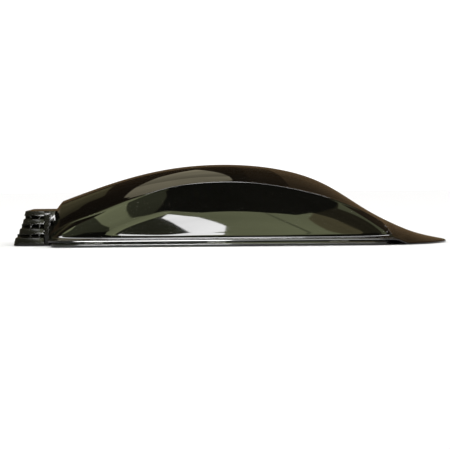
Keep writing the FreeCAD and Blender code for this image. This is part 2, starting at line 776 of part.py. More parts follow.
def latch_plate(x):
    top = BASE_TOP + PLATE_THICKNESS
    near, far = (LATCH_Y + side for side in PLATE_SIDES)
    plate = box((x - PLATE_HALF, near, BASE_TOP), (x + PLATE_HALF, far, top))
    plate = plate.makeFillet(PLATE_CORNER, [e for e in plate.Edges if is_upright(e)])
    holes = [keyhole(x, BASE_TOP, top)]
    holes += [round_hole(RIVET_R, px, LATCH_Y, BASE_TOP, top) for px in plate_rivet_xs()]
    return plate.cut(Part.makeCompound(holes))


def latch_rivet(x):
    """A flush rivet that holds a keyhole plate on the base frame."""
    length = BASE_TOP + PLATE_THICKNESS - GASKET_TOP
    shank = cylinder(RIVET_R, (x, LATCH_Y, GASKET_TOP), (0, 0, 1), length)
    tail_start = (x, LATCH_Y, GASKET_TOP - PLATE_RIVET_TAIL)
    return fuse([shank, cylinder(RIVET_R + RIVET_FLARE, tail_start, (0, 0, 1), PLATE_RIVET_TAIL)])


def latch_stud(x):
    """A flush slotted head, its shank and the cross bar that turns under the base frame."""
    seat = HOOD_FLANGE_TOP - HEAD_DEPTH
    head = cylinder(HEAD_R, (x, LATCH_Y, seat), (0, 0, 1), HEAD_DEPTH)
    shank = cylinder(SHANK_R, (x, LATCH_Y, BAR_Z[0]), (0, 0, 1), seat - BAR_Z[0])
    half = 0.5 * BAR_LENGTH
    wide = 0.5 * BAR_WIDTH
    bar = box((x - half, LATCH_Y - wide, BAR_Z[0]), (x + half, LATCH_Y + wide, BAR_Z[1]))
    reach, thin, deep = DRIVER_SLOT
    slot = box(
        (x - reach, LATCH_Y - thin, HOOD_FLANGE_TOP - deep),
        (x + reach, LATCH_Y + thin, HOOD_FLANGE_TOP + PAST),
    )
    return fuse([head, shank, bar]).cut(slot)


def build():
    outside = hood_outside()
    save("hood_shell", hood_shell(outside))
    save("hood_seal", hood_seal())
    for place, x in BOW_X.items():
        save(f"crown_bow_{place}", crown_bow(x))
    save("base_frame", base_frame())
    save("roof_gasket", roof_gasket())
    save("rain_baffle", rain_baffle())
    save("baffle_screws", Part.makeCompound(baffle_screws()))
    vanes = [vane(tier) for tier in TIERS]
    for tier, shape in zip(TIERS, vanes):
        save(f"louvre_vane_{tier[0]}", shape)
    save("louvre_housing", louvre_housing(vanes, outside))
    save("louvre_gasket", louvre_gasket())
    save("louvre_screws", Part.makeCompound(louvre_screws()))
    save("screen_frame", screen_frame())
    save("screen_pull", screen_pull())
    save("insect_mesh", insect_mesh())
    for place, x in HINGE_X.items():
        save(f"hinge_leaf_hood_{place}", hinge_leaf_hood(x))
        save(f"hinge_leaf_base_{place}", hinge_leaf_base(x))
        save(f"hinge_pin_{place}", hinge_pin(x))
    save("hinge_rivets_hood", Part.makeCompound(hinge_rivets_hood()))
    save("hinge_rivets_base", Part.makeCompound(hinge_rivets_base()))
    for place, x in LATCH_X.items():
        save(f"latch_stud_{place}", latch_stud(x))
        save(f"latch_plate_{place}", latch_plate(x))
    save("latch_rivets", Part.makeCompound([latch_rivet(x) for x in plate_rivet_xs()]))


build()
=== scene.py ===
import json
from math import atan2, cos, pi, radians, sin, sqrt

import bmesh
import bpy
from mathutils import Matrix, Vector


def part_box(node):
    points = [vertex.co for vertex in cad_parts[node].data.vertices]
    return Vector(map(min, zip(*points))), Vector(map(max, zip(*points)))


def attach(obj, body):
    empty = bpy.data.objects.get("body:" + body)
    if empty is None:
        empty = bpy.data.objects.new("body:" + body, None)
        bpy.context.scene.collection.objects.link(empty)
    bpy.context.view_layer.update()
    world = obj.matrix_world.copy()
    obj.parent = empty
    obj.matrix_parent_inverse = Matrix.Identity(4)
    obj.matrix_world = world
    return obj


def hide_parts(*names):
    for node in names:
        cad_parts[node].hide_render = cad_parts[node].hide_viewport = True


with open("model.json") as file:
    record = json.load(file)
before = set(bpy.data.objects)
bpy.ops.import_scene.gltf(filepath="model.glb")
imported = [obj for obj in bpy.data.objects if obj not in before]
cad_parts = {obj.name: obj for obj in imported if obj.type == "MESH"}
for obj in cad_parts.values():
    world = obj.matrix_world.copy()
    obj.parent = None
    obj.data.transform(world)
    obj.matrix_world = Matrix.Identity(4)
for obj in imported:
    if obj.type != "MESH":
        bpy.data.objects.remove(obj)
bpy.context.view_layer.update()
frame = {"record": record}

MM = 0.001

# ---------------------------------------------------------------------------------------------
# Shape of the hood, in millimetres, with the same lines as the CAD model
# ---------------------------------------------------------------------------------------------

HALF_WIDTH = 145.0
WALL = 3.0
NOSE_X = 345.0
HOOD_REAR_X = -286.0
SHOULDER_X = -272.0
BUBBLE_END_X = 254.0
DIVE_START_X = 236.0
NOSE_START_X = 225.0
NOSE_ELLIPSE_LENGTH = 128.0
FLANGE_MARGIN = 17.0
TIP_MARGIN = 7.0
CREASE_STEP = 0.8
CAVITY_END_X = 300.0
REAR_END_RIDGE = 51.0
REAR_TAPER = 12.0
HOOD_UNDER = 8.0
HOOD_FLANGE_TOP = 11.5
TIP_UNDER = 0.8
TIP_TOP = 3.2
TONGUE_DROP_X = (250.0, 276.0)
FINE_END_X = 280.0

# The side curve: its handles' length as a share of its chord, and the degrees by which they turn from it
SIDE_REACH = 0.38
FOOT_LEAN = 12
CREASE_LEAN = 18
MOST_LEAN = 88
# The hollow's crease lies this far inwards for each millimetre of wall
CREASE_INSET = 0.6
# The middle of a cubic lies at this share of the height of its two inner poles
CUBIC_MIDDLE = 0.75

RIDGE = ((-272, 69), (-195, 96.5), (-99, 120), (-5, 126.5), (84, 117.5), (162, 89.5), (220, 52.5),
         (258, 32.5), (297, 16), (345, 4.4))
CREASE = ((-286, 15), (-260, 33), (-220, 49), (-175, 66.5), (-128, 82.5), (-90, 92.5), (-50, 97.5),
          (0, 99), (50, 95.5), (97, 87.5), (162, 70), (210, 49.5), (240, 32))
CREASE_OUT = ((-286, 103), (-180, 99), (0, 98), (240, 103))
STRAP_FULLNESS = ((-286, 0.5), (-150, 0.42), (0, 0.4), (200, 0.48), (345, 0.6))


def natural_cubic(points):
    """A smooth height over X through the given points."""
    xs = [float(p[0]) for p in points]
    ys = [float(p[1]) for p in points]
    last = len(xs) - 1
    bends = [0.0] * (last + 1)
    upper = [0.0] * (last + 1)
    for i in range(1, last):
        left = xs[i] - xs[i - 1]
        right = xs[i + 1] - xs[i]
        pull = 6 * ((ys[i + 1] - ys[i]) / right - (ys[i] - ys[i - 1]) / left)
        pivot = 2 * (left + right) - left * upper[i - 1]
        upper[i] = right / pivot
        bends[i] = (pull - left * bends[i - 1]) / pivot
    for i in range(last - 1, 0, -1):
        bends[i] -= upper[i] * bends[i + 1]

    def height(x):
        x = min(max(x, xs[0]), xs[-1])
        i = max(k for k in range(last) if xs[k] <= x)
        span = xs[i + 1] - xs[i]
        a = (xs[i + 1] - x) / span
        b = (x - xs[i]) / span
        curve = ((a**3 - a) * bends[i] + (b**3 - b) * bends[i + 1]) * span * span / 6
        return a * ys[i] + b * ys[i + 1] + curve

    return height


ridge_line = natural_cubic(RIDGE)
crease_line = natural_cubic(CREASE)
crease_out_line = natural_cubic(CREASE_OUT)
fullness_line = natural_cubic(STRAP_FULLNESS)


def mix(a, b, t):
    return a + (b - a) * t


def ease(x, start, end):
    """Rises smoothly from 0 at start to 1 at end."""
    t = min(max((x - start) / (end - start), 0.0), 1.0)
    return t * t * (3 - 2 * t)


def ridge_z(x):
    if x < SHOULDER_X:
        t = (x - HOOD_REAR_X) / (SHOULDER_X - HOOD_REAR_X)
        return mix(REAR_END_RIDGE, ridge_line(SHOULDER_X), t)
    return ridge_line(x)


def under_z(x):
    return mix(HOOD_UNDER, TIP_UNDER, ease(x, *TONGUE_DROP_X))


def flange_z(x):
    return mix(HOOD_FLANGE_TOP, TIP_TOP, ease(x, *TONGUE_DROP_X))


def edge_y(x):
    if x < SHOULDER_X:
        return HALF_WIDTH - REAR_TAPER * (SHOULDER_X - x) / (SHOULDER_X - HOOD_REAR_X)
    along = max(x - NOSE_START_X, 0.0) / NOSE_ELLIPSE_LENGTH
    return HALF_WIDTH * sqrt(1 - along * along)


def root_y(x):
    return edge_y(x) - mix(FLANGE_MARGIN, TIP_MARGIN, ease(x, BUBBLE_END_X, NOSE_X))


def crease_z(x):
    return mix(crease_line(x), flange_z(x) + CREASE_STEP, ease(x, DIVE_START_X, BUBBLE_END_X))


def crease_y(x):
    return mix(crease_out_line(x), root_y(x) - CREASE_STEP, ease(x, DIVE_START_X, BUBBLE_END_X))


def side_poles(x, inset):
    """From the root on the flange up to the crease; inset moves the curve inwards."""
    foot = (root_y(x) - inset, flange_z(x) - inset * (x > BUBBLE_END_X))
    top = (crease_y(x) - CREASE_INSET * inset, crease_z(x) - inset)
    lean = atan2(foot[0] - top[0], top[1] - foot[1])
    reach = SIDE_REACH * sqrt((foot[0] - top[0]) ** 2 + (top[1] - foot[1]) ** 2)
    low = max(lean - radians(FOOT_LEAN), 0)
    high = min(lean + radians(CREASE_LEAN), radians(MOST_LEAN))
    second = (foot[0] - reach * sin(low), foot[1] + reach * cos(low))
    third = (top[0] + reach * sin(high), top[1] - reach * cos(high))
    return foot, second, third, top


def strap_poles(x, inset):
    """From the crease on the +Y side over the ridge to the other crease."""
    out = crease_y(x) - CREASE_INSET * inset
    low = crease_z(x) - inset
    high = low + (ridge_z(x) - inset - low) / CUBIC_MIDDLE
    fullness = fullness_line(x)
    return (out, low), (fullness * out, high), (-fullness * out, high), (-out, low)


def bezier_point(poles, t):
    u = 1 - t
    weights = (u**3, 3 * u * u * t, 3 * u * t * t, t**3)
    return tuple(sum(w * p[k] for w, p in zip(weights, poles)) for k in (0, 1))


def bezier_run(poles, start, end, count):
    return [bezier_point(poles, mix(start, end, i / count)) for i in range(count + 1)]


def rounded_corner(a, corner, b, count):
    """Points of a soft corner from a to b, bent towards corner."""
    points = []
    for i in range(1, count):
        t = i / count
        u = 1 - t
        points.append(tuple(u * u * a[k] + 2 * u * t * corner[k] + t * t * b[k] for k in (0, 1)))
    return points


FLANGE_ROUND = 1.3
ROOT_FILLET = 6.0
LIP_REACH = 2.0
LIP_HEIGHT = 0.9
LIP_LEAN = 0.7
SHOULDER_ROUND = 1.6
CENTRE_SHIFT = -5.0
# Next to its ends, a curve's parameter is taken as this share of the length along it
END_SHARE = 0.9
LARGEST_BEGIN = 0.1
EDGE_STEPS = 5
ROOT_STEPS = 8
SIDE_STEPS = 26
CROWN_STEPS = 56
INNER_SIDE_STEPS = 14
INNER_CROWN_STEPS = 32


def inner_side(x):
    """The hollow's side from the flange's underside up to the crease."""
    poles = side_poles(x, WALL)
    low = under_z(x)
    start = 0.0
    while bezier_point(poles, start)[1] < low + 0.05 and start < 0.9:
        start += 0.01
    foot = (bezier_point(poles, start)[0], low)
    return [foot] + bezier_run(poles, start, 1, INNER_SIDE_STEPS)


def hood_outer(x):
    """The outside from the foot on the +Y side, round the flange and over the crown, to the other foot."""
    side = side_poles(x, 0.0)
    strap = strap_poles(x, 0.0)
    edge, low, top = edge_y(x), under_z(x), flange_z(x)
    root, crease = side[0], side[3]
    length = sqrt((root[0] - crease[0]) ** 2 + (crease[1] - root[1]) ** 2)
    # where a face is short, its rounding shrinks to a share of it
    soft = min(FLANGE_ROUND, 0.45 * (top - low))
    fillet = min(ROOT_FILLET, 0.35 * length, 0.5 * (edge - root[0]))
    lip = min(LIP_REACH, 0.2 * length)
    start = fillet / length * END_SHARE
    end = 1 - lip / length * END_SHARE
    begin = min(lip / (2 * crease[0]) * END_SHARE, LARGEST_BEGIN)
    raised = LIP_HEIGHT * lip / LIP_REACH
    peak = (crease[0] + LIP_LEAN * raised, crease[1] + LIP_LEAN * raised)
    outer_foot = (root[0] + fillet, top)
    half = [inner_side(x)[0], (edge - soft, low)]
    half += rounded_corner(half[-1], (edge, low), (edge, low + soft), EDGE_STEPS)
    half += [(edge, low + soft), (edge, top - soft)]
    half += rounded_corner(half[-1], (edge, top), (edge - soft, top), EDGE_STEPS)
    half += [(edge - soft, top), (mix(edge - soft, outer_foot[0], 0.5), top), outer_foot]
    half += rounded_corner(outer_foot, root, bezier_point(side, start), ROOT_STEPS)
    half += bezier_run(side, start, end, SIDE_STEPS)
    half += rounded_corner(half[-1], peak, bezier_point(strap, begin), ROOT_STEPS)
    crown = bezier_run(strap, begin, 1 - begin, CROWN_STEPS)
    return half + crown + flipped(half)


def flipped(points):
    return [(-y, z) for y, z in reversed(points)]


def hood_inner(x):
    """The hollow's outline from the -Y foot over to the +Y foot, without the two feet."""
    side = inner_side(x)[1:]
    crown = bezier_run(strap_poles(x, WALL), 0, 1, INNER_CROWN_STEPS)[1:-1]
    return (side + crown + flipped(side))[::-1]


def span(start, end, step):
    count = max(int(round((end - start) / step)), 1)
    return [mix(start, end, i / count) for i in range(count)]


def softened(profile, x):
    """The outline at x; next to the rear shoulder it is averaged over a short reach."""
    near = abs(x - SHOULDER_X)
    if near >= SHOULDER_ROUND:
        return profile(x)
    reach = SHOULDER_ROUND - near
    before = profile(x - reach)
    after = profile(x + reach)
    return [tuple(0.5 * (a[k] + b[k]) for k in (0, 1)) for a, b in zip(before, after)]


# ---------------------------------------------------------------------------------------------
# Mesh helpers
# ---------------------------------------------------------------------------------------------

def placed(name, data):
    """A new object of the scene with this mesh or camera."""
    obj = bpy.data.objects.new(name, data)
    bpy.context.scene.collection.objects.link(obj)
    return obj


def new_object(name, bm, smooth_angle):
    """An object whose faces are smooth, apart from the edges sharper than smooth_angle degrees."""
    mesh = bpy.data.meshes.new(name)
    bmesh.ops.recalc_face_normals(bm, faces=bm.faces)
    for face in bm.faces:
        face.smooth = True
    for edge in bm.edges:
        if len(edge.link_faces) == 2 and edge.calc_face_angle(0) > radians(smooth_angle):
            edge.smooth = False
    bm.to_mesh(mesh)
    bm.free()
    return placed(name, mesh)


def spot(x, y, z):
    """A point of the object in metres, moved so that the whole is centred on its own width."""
    return Vector((x, y + CENTRE_SHIFT, z)) * MM


def ring_at(x, profile):
    return [spot(x, y, z) for y, z in profile]


def box_bmesh(low, high):
    bm = bmesh.new()
    corners = [bm.verts.new(spot(x, y, z))
               for x in (low[0], high[0]) for y in (low[1], high[1]) for z in (low[2], high[2])]
    for quad in ((0, 1, 3, 2), (4, 6, 7, 5), (0, 4, 5, 1), (2, 3, 7, 6), (0, 2, 6, 4), (1, 5, 7, 3)):
        bm.faces.new([corners[i] for i in quad])
    bmesh.ops.recalc_face_normals(bm, faces=bm.faces)
    return bm


def cylinder_bmesh(centre, radius, height, sides):
    bm = bmesh.new()
    rings = []
    for z in (centre[2], centre[2] + height):
        turns = [2 * pi * i / sides for i in range(sides)]
        rings.append([bm.verts.new(spot(centre[0] + radius * cos(t), centre[1] + radius * sin(t), z))
                      for t in turns])
    for j in range(sides):
        k = (j + 1) % sides
        bm.faces.new((rings[0][j], rings[0][k], rings[1][k], rings[1][j]))
    bm.faces.new(rings[0][::-1])
    bm.faces.new(rings[1])
    return bm


def scratch_object(name, bm):
    mesh = bpy.data.meshes.new(name)
    bmesh.ops.recalc_face_normals(bm, faces=bm.faces)
    bm.to_mesh(mesh)
    bm.free()
    return placed(name, mesh)


def applied(obj):
    """The object's mesh with its modifiers applied, as a bmesh; the object is removed."""
    depsgraph = bpy.context.evaluated_depsgraph_get()
    evaluated = obj.evaluated_get(depsgraph)
    bm = bmesh.new()
    bm.from_mesh(evaluated.to_mesh())
    evaluated.to_mesh_clear()
    mesh = obj.data
    bpy.data.objects.remove(obj)
    bpy.data.meshes.remove(mesh)
    return bm


def cut_away(bm, cutters):
    """The body with each cutter taken out of it."""
    body = scratch_object("scratch_body", bm)
    tools = [scratch_object(f"scratch_cutter_{i}", cutter) for i, cutter in enumerate(cutters)]
    for tool in tools:
        modifier = body.modifiers.new("cut", "BOOLEAN")
        modifier.operation = "DIFFERENCE"
        modifier.solver = "EXACT"
        modifier.object = tool
    result = applied(body)
    for tool in tools:
        mesh = tool.data
        bpy.data.objects.remove(tool)
        bpy.data.meshes.remove(mesh)
    return result


# ---------------------------------------------------------------------------------------------
# Materials
# ---------------------------------------------------------------------------------------------

def new_material(name):
    material = bpy.data.materials.new(name)
    material.use_nodes = True
    nodes = material.node_tree.nodes
    shader = nodes["Principled BSDF"]
    return material, nodes, material.node_tree.links, shader


def noise(nodes, links, scale, detail, roughness=0.5, stretch=None):
    coords = nodes.new("ShaderNodeTexCoord")
    source = coords.outputs["Object"]
    if stretch:
        mapping = nodes.new("ShaderNodeMapping")
        mapping.inputs["Scale"].default_value = stretch
        links.new(source, mapping.inputs["Vector"])
        source = mapping.outputs["Vector"]
    texture = nodes.new("ShaderNodeTexNoise")
    texture.inputs["Scale"].default_value = scale
    texture.inputs["Detail"].default_value = detail
    texture.inputs["Roughness"].default_value = roughness
    links.new(source, texture.inputs["Vector"])
    return texture.outputs["Fac"]


def ramp(nodes, links, source, stops):
    node = nodes.new("ShaderNodeValToRGB")
    elements = node.color_ramp.elements
    while len(elements) < len(stops):
        elements.new(0.5)
    for element, (position, color) in zip(elements, stops):
        element.position = position
        element.color = color if len(color) == 4 else (*color, 1)
    links.new(source, node.inputs["Fac"])
    return node.outputs["Color"]


def map_range(nodes, links, source, low, high):
    node = nodes.new("ShaderNodeMapRange")
    node.inputs["To Min"].default_value = low
    node.inputs["To Max"].default_value = high
    links.new(source, node.inputs["Value"])
    return node.outputs["Result"]


def bump(nodes, links, source, distance, strength, normal=None):
    node = nodes.new("ShaderNodeBump")
    node.inputs["Distance"].default_value = distance
    node.inputs["Strength"].default_value = strength
    links.new(source, node.inputs["Height"])
    if normal:
        links.new(normal, node.inputs["Normal"])
    return node.outputs["Normal"]


def gloss_black():
    """Polished moulded plastic: near black, with faint orange peel and a trace of dust."""
    material, nodes, links, shader = new_material("gloss_black")
    tint = noise(nodes, links, scale=6, detail=3)
    deep = (0.0018, 0.0018, 0.0016)
    dusty = (0.0032, 0.003, 0.0026)
    links.new(ramp(nodes, links, tint, ((0.35, deep), (0.7, dusty))), shader.inputs["Base Color"])
    haze = noise(nodes, links, scale=38, detail=6, roughness=0.6)
    links.new(map_range(nodes, links, haze, 0.012, 0.04), shader.inputs["Roughness"])
    shader.inputs["IOR"].default_value = 1.52
    waves = noise(nodes, links, scale=7, detail=1)
    peel = noise(nodes, links, scale=160, detail=1)
    soft = bump(nodes, links, waves, distance=0.001, strength=0.2)
    peeled = bump(nodes, links, peel, distance=0.000004, strength=0.2, normal=soft)
    links.new(peeled, shader.inputs["Normal"])
    return material


def satin_black(name, color, roughness, grain=900, gloss=0.5):
    """Moulded plastic with a fine spark-eroded grain; roughness is its least and its most."""
    material, nodes, links, shader = new_material(name)
    shader.inputs["Specular IOR Level"].default_value = gloss
    tint = noise(nodes, links, scale=14, detail=5)
    darker = tuple(0.7 * c for c in color)
    links.new(ramp(nodes, links, tint, ((0.3, darker), (0.7, color))), shader.inputs["Base Color"])
    wear = noise(nodes, links, scale=60, detail=5)
    links.new(map_range(nodes, links, wear, roughness[0], roughness[1]), shader.inputs["Roughness"])
    texture = noise(nodes, links, scale=grain, detail=2)
    links.new(bump(nodes, links, texture, distance=0.00005, strength=0.4), shader.inputs["Normal"])
    return material


def foam():
    """Closed-cell foam strip."""
    material, nodes, links, shader = new_material("foam")
    coords = nodes.new("ShaderNodeTexCoord")
    cells = nodes.new("ShaderNodeTexVoronoi")
    cells.inputs["Scale"].default_value = 900
    links.new(coords.outputs["Object"], cells.inputs["Vector"])
    pores = cells.outputs["Distance"]
    deep = (0.012,) * 3
    grey = (0.035,) * 3
    links.new(ramp(nodes, links, pores, ((0.0, deep), (0.6, grey))), shader.inputs["Base Color"])
    shader.inputs["Roughness"].default_value = 0.85
    links.new(bump(nodes, links, pores, distance=0.0003, strength=0.6), shader.inputs["Normal"])
    return material


def metal(name, color, roughness, stretch=(1, 1, 1)):
    """Plated or brushed metal with fine streaks and uneven shine."""
    material, nodes, links, shader = new_material(name)
    shader.inputs["Metallic"].default_value = 1.0
    tint = noise(nodes, links, scale=90, detail=6)
    darker = tuple(0.72 * c for c in color)
    links.new(ramp(nodes, links, tint, ((0.3, darker), (0.75, color))), shader.inputs["Base Color"])
    streaks = noise(nodes, links, scale=700, detail=3, roughness=0.6, stretch=stretch)
    links.new(map_range(nodes, links, streaks, roughness[0], roughness[1]), shader.inputs["Roughness"])
    links.new(bump(nodes, links, streaks, distance=0.00003, strength=0.3), shader.inputs["Normal"])
    return material


def powder_coat():
    """Black powder coat on steel, slightly pebbled."""
    material, nodes, links, shader = new_material("powder_coat")
    deep = (0.012,) * 3
    grey = (0.024,) * 3
    tint = noise(nodes, links, scale=30, detail=4)
    links.new(ramp(nodes, links, tint, ((0.3, deep), (0.7, grey))), shader.inputs["Base Color"])
    pebbles = noise(nodes, links, scale=1500, detail=1)
    links.new(map_range(nodes, links, pebbles, 0.32, 0.5), shader.inputs["Roughness"])
    links.new(bump(nodes, links, pebbles, distance=0.00006, strength=0.6), shader.inputs["Normal"])
    return material


LOUVRE_COLOR = (0.006, 0.0055, 0.0035)
MATERIALS = {
    "hood_gloss": gloss_black(),
    "inner_matte": satin_black("inner_matte", (0.018, 0.018, 0.017), (0.4, 0.6)),
    "base_plastic": satin_black("base_plastic", (0.004, 0.004, 0.0038), (0.07, 0.14), grain=300),
    "foam_rubber": foam(),
    "screw_steel": metal("screw_steel", (0.55, 0.55, 0.53), (0.25, 0.45)),
    "louvre_plastic": satin_black("louvre_plastic", LOUVRE_COLOR, (0.12, 0.22), grain=300, gloss=0.22),
    "screen_plastic": satin_black("screen_plastic", (0.02, 0.02, 0.019), (0.35, 0.5)),
    "mesh_metal": metal("mesh_metal", (0.2, 0.2, 0.19), (0.35, 0.55)),
    "hinge_black": powder_coat(),
    "pin_steel": metal("pin_steel", (0.55, 0.54, 0.52), (0.2, 0.35), (8, 1, 1)),
    "rivet_aluminium": metal("rivet_aluminium", (0.42, 0.42, 0.42), (0.3, 0.5)),
    "plate_steel": metal("plate_steel", (0.1, 0.1, 0.095), (0.3, 0.45), (1, 6, 1)),
    "latch_black": powder_coat(),
}
SLOT_OF = {row["node"]: row["material_slot"] for row in frame["record"]["subparts"]}
BODY_OF = {node: body for body, nodes in frame["record"]["behaviour"]["bodies"].items() for node in nodes}


def finish_piece(obj, node):
    """Gives a piece its material and rides it on its node's body."""
    slot = SLOT_OF[node]
    obj.data.materials.clear()
    obj.data.materials.append(MATERIALS[slot])
    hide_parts(node)
    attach(obj, BODY_OF[node])
    return obj


# ---------------------------------------------------------------------------------------------
# Pieces
# ---------------------------------------------------------------------------------------------

LATCH_X = (165.0, -25.0, -215.0)
LATCH_Y = -136.5
OUTLET_X = (-290.0, -276.0)
OUTLET_HALF = 62.0
OUTLET_Z = (14.0, 36.0)
STUD_HEAD_R = 5.4
STUD_SHANK_R = 2.7
BORE_DEPTH = 2.0
CUTTER_HEIGHT = 5.0
HOOD_SMOOTH = 35


def shell_bmesh(stations, hollow_start, hollow_end):
    """The hood's skin: outer and inner surface, the flange's underside and the solid ends."""
    bm = bmesh.new()
    outer = {x: [bm.verts.new(p) for p in ring_at(x, softened(hood_outer, x))] for x in stations}
    inside = [x for x in stations if hollow_start <= x <= hollow_end]
    inner = {}
    for x in inside:
        between = [bm.verts.new(p) for p in ring_at(x, softened(hood_inner, x))]
        inner[x] = [outer[x][-1]] + between + [outer[x][0]]

    def skin(a, b):
        for j in range(len(a) - 1):
            bm.faces.new((a[j], a[j + 1], b[j + 1], b[j]))

    for a, b in zip(stations, stations[1:]):
        skin(outer[a], outer[b])
        if a in inner and b in inner:
            skin(inner[a], inner[b])
        else:
            bm.faces.new((outer[a][-1], outer[a][0], outer[b][0], outer[b][-1]))
    for x in (stations[0], stations[-1]):
        bm.faces.new(outer[x])
    for x in (inside[0], inside[-1]):
        bm.faces.new(inner[x])
    bmesh.ops.recalc_face_normals(bm, faces=bm.faces)
    return bm


def make_hood():
    """The hood's skin with the outlet at its rear end and the bores of the three studs."""
    wall_x = HOOD_REAR_X + WALL
    shoulder_start = SHOULDER_X - SHOULDER_ROUND
    shoulder_end = SHOULDER_X + SHOULDER_ROUND
    stations = [HOOD_REAR_X, HOOD_REAR_X + 0.5 * WALL, wall_x]
    stations += span(wall_x + 2, shoulder_start, 2.0)
    stations += span(shoulder_start, shoulder_end, 0.4)
    stations += span(shoulder_end, DIVE_START_X, 3.0)
    stations += span(DIVE_START_X, FINE_END_X, 1.0)
    stations += span(FINE_END_X, CAVITY_END_X, 2.0)
    stations += span(CAVITY_END_X, NOSE_X, 2.5)
    stations.append(NOSE_X)
    low = (OUTLET_X[0], -OUTLET_HALF, OUTLET_Z[0])
    high = (OUTLET_X[1], OUTLET_HALF, OUTLET_Z[1])
    cutters = [box_bmesh(low, high)]
    for x in LATCH_X:
        head = (x, LATCH_Y, HOOD_FLANGE_TOP - BORE_DEPTH)
        shank = (x, LATCH_Y, HOOD_UNDER - BORE_DEPTH)
        cutters.append(cylinder_bmesh(head, STUD_HEAD_R, CUTTER_HEIGHT, sides=40))
        cutters.append(cylinder_bmesh(shank, STUD_SHANK_R, CUTTER_HEIGHT, sides=28))
    body = cut_away(shell_bmesh(stations, wall_x, CAVITY_END_X), cutters)
    return finish_piece(new_object("hood_skin", body, HOOD_SMOOTH), "hood_shell")


SOFT_EDGES = {
    "louvre_housing": 0.5, "louvre_vane_lower": 0.5, "louvre_vane_middle": 0.5, "louvre_vane_upper": 0.5,
    "screen_pull": 0.5, "screen_frame": 0.3, "base_frame": 0.5, "rain_baffle": 0.4, "roof_gasket": 0.5,
    "hinge_leaf_hood_front": 0.3, "hinge_leaf_hood_rear": 0.3,
    "hinge_leaf_base_front": 0.3, "hinge_leaf_base_rear": 0.3,
    "latch_plate_front": 0.15, "latch_plate_middle": 0.15, "latch_plate_rear": 0.15,
    "crown_bow_front": 0.5, "crown_bow_rear": 0.5,
}
BEVEL_SEGMENTS = 2
BEVEL_ANGLE = 28
BEVEL_SMOOTH = 20


def bevelled(node, width):
    """A node's own shape, built again with its edges softened by width millimetres."""
    source = bpy.data.objects[node]
    bm = bmesh.new()
    bm.from_mesh(source.data)
    bmesh.ops.remove_doubles(bm, verts=bm.verts, dist=0.00001)
    bmesh.ops.dissolve_limit(bm, angle_limit=radians(1.0), verts=bm.verts, edges=bm.edges)
    bmesh.ops.recalc_face_normals(bm, faces=bm.faces)
    sharp = [e for e in bm.edges if len(e.link_faces) == 2 and e.calc_face_angle(0) > radians(BEVEL_ANGLE)]
    bmesh.ops.bevel(bm, geom=sharp, offset=width * MM, segments=BEVEL_SEGMENTS, profile=0.6, affect="EDGES",
                    clamp_overlap=True)
    return finish_piece(new_object(f"{node}_piece", bm, BEVEL_SMOOTH), node)


WEAVE_PITCH = 2.0
WEAVE_SWAY = 0.14
WIRE_R = 0.13
WIRE_RING = ((1, 1), (-1, 1), (-1, -1), (1, -1))
WEAVE_SMOOTH = 30


def wire(bm, path, across):
    """One wire along the path; across is the axis its ring opens into besides X."""
    rings = []
    for point in path:
        ring = []
        for a, b in WIRE_RING:
            offset = Vector((a, 0, 0)) + b * across
            ring.append(bm.verts.new((point + WIRE_R / sqrt(2) * offset) * MM))
        rings.append(ring)
    for here, after in zip(rings, rings[1:]):
        for i in range(4):
            k = (i + 1) % 4
            bm.faces.new((here[i], here[k], after[k], after[i]))
    bm.faces.new(rings[0])
    bm.faces.new(rings[-1][::-1])


def make_weave():
    """The insect mesh woven from single wires, in the place of its plain sheet."""
    low, high = (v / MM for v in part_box("insect_mesh"))
    middle = 0.5 * (low.x + high.x)
    columns = int((high.y - low.y - 2 * WIRE_R) / WEAVE_PITCH)
    rows = int((high.z - low.z - 2 * WIRE_R) / WEAVE_PITCH)
    side = 0.5 * (low.y + high.y - columns * WEAVE_PITCH)
    foot = 0.5 * (low.z + high.z - rows * WEAVE_PITCH)
    bm = bmesh.new()
    ys = [side + i * WEAVE_PITCH for i in range(columns + 1)]
    zs = [foot + j * WEAVE_PITCH for j in range(rows + 1)]
    for i, y in enumerate(ys):
        path = [Vector((middle + WEAVE_SWAY * (-1) ** (i + j), y, z)) for j, z in enumerate(zs)]
        wire(bm, [Vector((middle, y, low.z))] + path + [Vector((middle, y, high.z))], Vector((0, 1, 0)))
    for j, z in enumerate(zs):
        path = [Vector((middle - WEAVE_SWAY * (-1) ** (i + j), y, z)) for i, y in enumerate(ys)]
        wire(bm, [Vector((middle, low.y, z))] + path + [Vector((middle, high.y, z))], Vector((0, 0, 1)))
    bmesh.ops.recalc_face_normals(bm, faces=bm.faces)
    return finish_piece(new_object("mesh_weave", bm, WEAVE_SMOOTH), "insect_mesh")


def dress_remaining():
    """CAD nodes that stay get their detailed materials."""
    for node, slot in SLOT_OF.items():
        obj = bpy.data.objects.get(node)
        if obj:
            obj.data.materials.clear()
            obj.data.materials.append(MATERIALS[slot])


# ---------------------------------------------------------------------------------------------
# Stage, lights and camera
# ---------------------------------------------------------------------------------------------

CARD_UNEVEN = 0.5
FLOOR_HALF = 6.0
WHITE_STRENGTH = 1.2
ROOM_COLOR = (0.16, 0.105, 0.055, 1)


